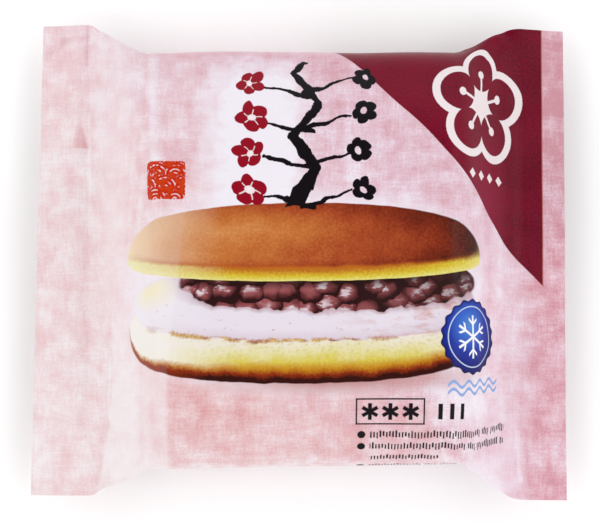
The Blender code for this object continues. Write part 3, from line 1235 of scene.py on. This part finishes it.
def stamp(colour, u, v, rough):
    """A small seal stamp with worn edges and a plain pattern of waves."""
    x, y = offset(u, v, STAMP_PLACE)
    plate = oblong(x, y, STAMP_SIZE / 2, STAMP_SIZE / 2, corner=1.2) + rough * 0.45
    row = maths("ROUND", (y + 0.2) / (2 * RING_HALF_HEIGHT))
    ring_x = maths("WRAP", x + row * RING_HALF_WIDTH, RING_HALF_WIDTH, -RING_HALF_WIDTH)
    ring_y = maths("WRAP", y + 0.2, RING_HALF_HEIGHT, -RING_HALF_HEIGHT) + RING_HALF_HEIGHT
    rings = abs(maths("PINGPONG", length(ring_x, ring_y), 0.95) - 0.5) - 0.15
    worn = noise(u, v, 1.6, shift=47)
    shown = inside(plate) * most(inside(rough * 0.2 - rings), between(worn, 0.42, 0.5))
    ink = blended(STAMP_RED, STAMP_WORN, between(worn + rough * 0.5, 0.46, 0.66) * 0.6)
    return blended(colour, ink, shown)


# The badge, the turn of its snowflake, the waves under it, and its glaze from the lit middle to the edge
BADGE_PLACE = (43.8, -21.9)
BADGE_RADIUS = 9.3
BADGE_SCALLOPS = 18
FLAKE_TURN = math.pi / 6
WAVE_PLACE = (45.8, -34.6)
WAVE_HALF_WIDTH = 9.6
PALE_BLUE = (140, 170, 222)
GLAZE_INKS = (
    (0, (82, 138, 208)),
    (0.3, (54, 98, 196)),
    (0.52, (34, 54, 156)),
    (0.74, (28, 36, 124)),
    (1, (24, 24, 88)),
)


def badge(colour, u, v, rough):
    """A blue scalloped roundel with a snowflake, and two small pale waves under it."""
    x, y = offset(u, v, BADGE_PLACE)
    away = length(x, y)
    edge = away - BADGE_RADIUS + maths("COSINE", maths("ARCTAN2", y, x) * BADGE_SCALLOPS) * 0.28
    along, aside = nearest_spoke(x, y, 6, FLAKE_TURN)
    aside = abs(aside)
    barbs = most(abs(along - aside * 0.9 - 3.1) * 0.75 - 0.26, aside - 1.5)
    flake = least(spokes(x, y, 5.4, 0.62, 6, FLAKE_TURN), barbs) + rough * 0.05
    glaze = layered(
        colours_along(between(length(x + 1.2, y - 2.6), 0, 12.5), GLAZE_INKS),
        ((24, 24, 84), inside(-edge - 0.55, 0.5) * 0.8),
        ((206, 222, 244), inside(abs(away - 7.6) - 0.14) * 0.9),
        ((244, 246, 252), inside(flake)),
    )
    wave_x, wave_y = offset(u, v, WAVE_PLACE)
    waves = abs(abs(wave_y - maths("SINE", wave_x * 1.35) * 0.75) - 0.95) * 0.84 - 0.34
    waves = most(waves, abs(wave_x) - WAVE_HALF_WIDTH)
    return layered(colour, (glaze, inside(edge)), (PALE_BLUE, inside(waves, 0.25)))


# The box with its marks, the bars beside it, and the round dots before the rows
BOX_PLACE = (22.2, -40.4)
BOX_SIZE = (16.6, 6.4)
MARK_PITCH = 5
BAR_PLACE = 37.4
BAR_PITCH = 2.9
DOT_COLUMN = 15.2
DOT_ROWS = (-46.5, -49.9, -59.2)

# Rows of upright ticks: height v, then first and last u, in millimetres
TICK_PITCH = 0.78
TICK_WIDTH = 0.34
TICK_HEIGHT = 1.1
TICK_ROWS = (
    (-46.5, 17.3, 58),
    (-49.9, 17.3, 58),
    (-53.9, 17.3, 34.5),
    (-59.2, 17.3, 40),
)


def small_print(colour, u, v, rough):
    """A ruled box with three plain marks, three bars, and rows of fine upright ticks after round dots."""
    y = v - BOX_PLACE[1]
    frame_line = abs(oblong(u - BOX_PLACE[0], y, BOX_SIZE[0] / 2, BOX_SIZE[1] / 2)) - 0.19
    marks = spokes(repeated(u, BOX_PLACE[0], MARK_PITCH, 3)[0], y, 2.15, 0.95, 6, math.pi / 6)
    bars = oblong(repeated(u, BAR_PLACE, BAR_PITCH, 3)[0], y, 0.55, 2)
    colour = blended(colour, INK_BLACK, inside(least(frame_line, marks, bars) + rough * 0.08))
    for row, (height, first, last) in enumerate(TICK_ROWS):
        along = maths("MULTIPLY_ADD", u, 1 / TICK_PITCH, 7.3 * row)
        cell = maths("FLOOR", along)
        share = maths("FRACT", along)
        chance = maths("FRACT", maths("SINE", cell * 12.9898) * 43.758)
        other = maths("FRACT", maths("SINE", cell * 78.233) * 19.19)
        tick = abs(share - 0.5) * TICK_PITCH - TICK_WIDTH / 2 - other * 0.07
        tick = most(tick, abs(v - height - (other - 0.5) * 0.6) - TICK_HEIGHT / 2 - chance * 0.45)
        tick = most(tick, u - last, first - u, (0.14 - chance) * 9)
        colour = blended(colour, INK_BLACK, inside(tick + rough * 0.16))
    dots = least(*[disc(u - DOT_COLUMN, v - height, 1) for height in DOT_ROWS])
    return blended(colour, INK_BLACK, inside(dots + rough * 0.08))


# The film's finish: brightness of its inks, gloss, crimp lines of the fin and fine unevenness of the rest
FILM_BRIGHTNESS = 0.89
FILM_IOR = 1.5
FILM_SPECULAR = 0.12
CRIMP_PITCH = 1.1
CRIMP_DEPTH = 0.05 * MM
FILM_GRAIN_DEPTH = 0.03 * MM


def film_material(name, crimped=False):
    """Satin printed film. The fin's shows the ground alone, with crimp lines pressed across it."""
    material = bpy.data.materials.new(name)
    material.use_nodes = True
    tree = material.node_tree
    print_map = tree.nodes.new("ShaderNodeUVMap")
    print_map.uv_map = "print"
    u, v, _ = parts(Value(print_map.outputs[0]))
    colour = washi(u, v)
    if crimped:
        height = maths("SINE", u * (2 * math.pi / CRIMP_PITCH))
    else:
        height = noise(u, v, 2.2, shift=29)
        colour = cake_picture(glow(colour, u, v), u, v)
        rough = noise(u, v, 0.55, roughness=0.6, shift=91) - 0.5
        for paint in (corner_field, crest, branch, stamp, badge, small_print):
            colour = paint(colour, u, v, rough)
    bump = tree.nodes.new("ShaderNodeBump")
    depth = CRIMP_DEPTH if crimped else FILM_GRAIN_DEPTH
    enter(bump, {"Strength": 1, "Distance": depth, "Height": height})
    haze = noise(u, v, 9, shift=13)
    enter(tree.nodes["Principled BSDF"], {
        "Base Color": dimmed(colour, FILM_BRIGHTNESS),
        "Roughness": haze * 0.1 + 0.27,
        "Metallic": 0,
        "IOR": FILM_IOR,
        "Specular IOR Level": FILM_SPECULAR,
        "Normal": Value(bump.outputs[0]),
    })
    return material


# Camera: where it looks, how far off it stands, and how it leans from straight above
CAMERA_TARGET = np.array([-0.25, -2.1, 14]) * MM
CAMERA_DISTANCE = 500 * MM
CAMERA_TILT = math.radians(7.1)
CAMERA_ROLL = math.radians(0.55)
CAMERA_LENS = 118.2
SENSOR_WIDTH = 36


def build_camera():
    back = Vector((0, -math.sin(CAMERA_TILT), math.cos(CAMERA_TILT)))
    level = Vector((1, 0, 0))
    upright = back.cross(level)
    right = level * math.cos(CAMERA_ROLL) + upright * math.sin(CAMERA_ROLL)
    up = upright * math.cos(CAMERA_ROLL) - level * math.sin(CAMERA_ROLL)
    turn = Matrix((right, up, back)).transposed().to_4x4()
    data = bpy.data.cameras.new("camera")
    data.lens = CAMERA_LENS
    data.sensor_width = SENSOR_WIDTH
    data.sensor_fit = "HORIZONTAL"
    data.clip_start = 0.01
    camera = placed("camera", data)
    camera.matrix_world = Matrix.Translation(Vector(CAMERA_TARGET) + back * CAMERA_DISTANCE) @ turn
    bpy.context.scene.camera = camera


# Lights: direction from the pack, distance, side and power of each soft box
SOFT_BOXES = {
    "left light": ((-0.62, -0.16, 0.77), 1.6, 1.2, 3.2),
    "right light": ((0.62, -0.1, 0.78), 1.6, 1.2, 3.2),
}

# Strength of the light from all round, how much more comes from half way up, and what comes from above
WORLD_ROUND = 0.96
WORLD_RING = 0.6
WORLD_ABOVE = 0.2
FLOOR_SIZE = 8
FLOOR_WHITE = (255, 255, 255)


def build_light(name, direction, distance, side, power):
    data = bpy.data.lights.new(name, "AREA")
    data.shape = "SQUARE"
    data.size = side
    data.energy = power
    light = placed(name, data)
    away = Vector(direction).normalized()
    light.location = away * distance
    light.rotation_euler = away.to_track_quat("Z", "Y").to_euler()


def build_world():
    """Even light from all round, brightest half way up and dim straight above."""
    world = bpy.data.worlds.new("studio")
    world.use_nodes = True
    tree = world.node_tree
    direction = tree.nodes.new("ShaderNodeTexCoord")
    height = parts(Value(direction.outputs["Generated"]))[2]
    ring = between(height, 0.25, 0.5) * between(height, 0.9, 0.7)
    above = between(height, 0.7, 0.92)
    strength = above * (WORLD_ABOVE - WORLD_ROUND) + ring * WORLD_RING + WORLD_ROUND
    enter(tree.nodes["Background"], {"Color": (1, 1, 1, 1), "Strength": strength})
    bpy.context.scene.world = world


def build_floor():
    half = FLOOR_SIZE / 2
    corners = ((-half, -half, 0), (half, -half, 0), (half, half, 0), (-half, half, 0))
    mesh = bpy.data.meshes.new("floor")
    mesh.from_pydata(corners, [], [(0, 1, 2, 3)])
    material = bpy.data.materials.new("floor")
    material.use_nodes = True
    shader = material.node_tree.nodes["Principled BSDF"]
    enter(shader, {"Base Color": srgb(*FLOOR_WHITE), "Roughness": 0.8})
    mesh.materials.append(material)
    placed("floor", mesh)


def dress(piece, material):
    piece.data.materials.append(material)
    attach(piece, "root")
    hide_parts("pack")


dress(build_film(), film_material("printed_film"))
dress(build_fin(), film_material("crimped_film", crimped=True))
build_camera()
build_world()
build_floor()
for light_name, soft_box in SOFT_BOXES.items():
    build_light(light_name, *soft_box)
bpy.context.scene.view_settings.view_transform = "Standard"
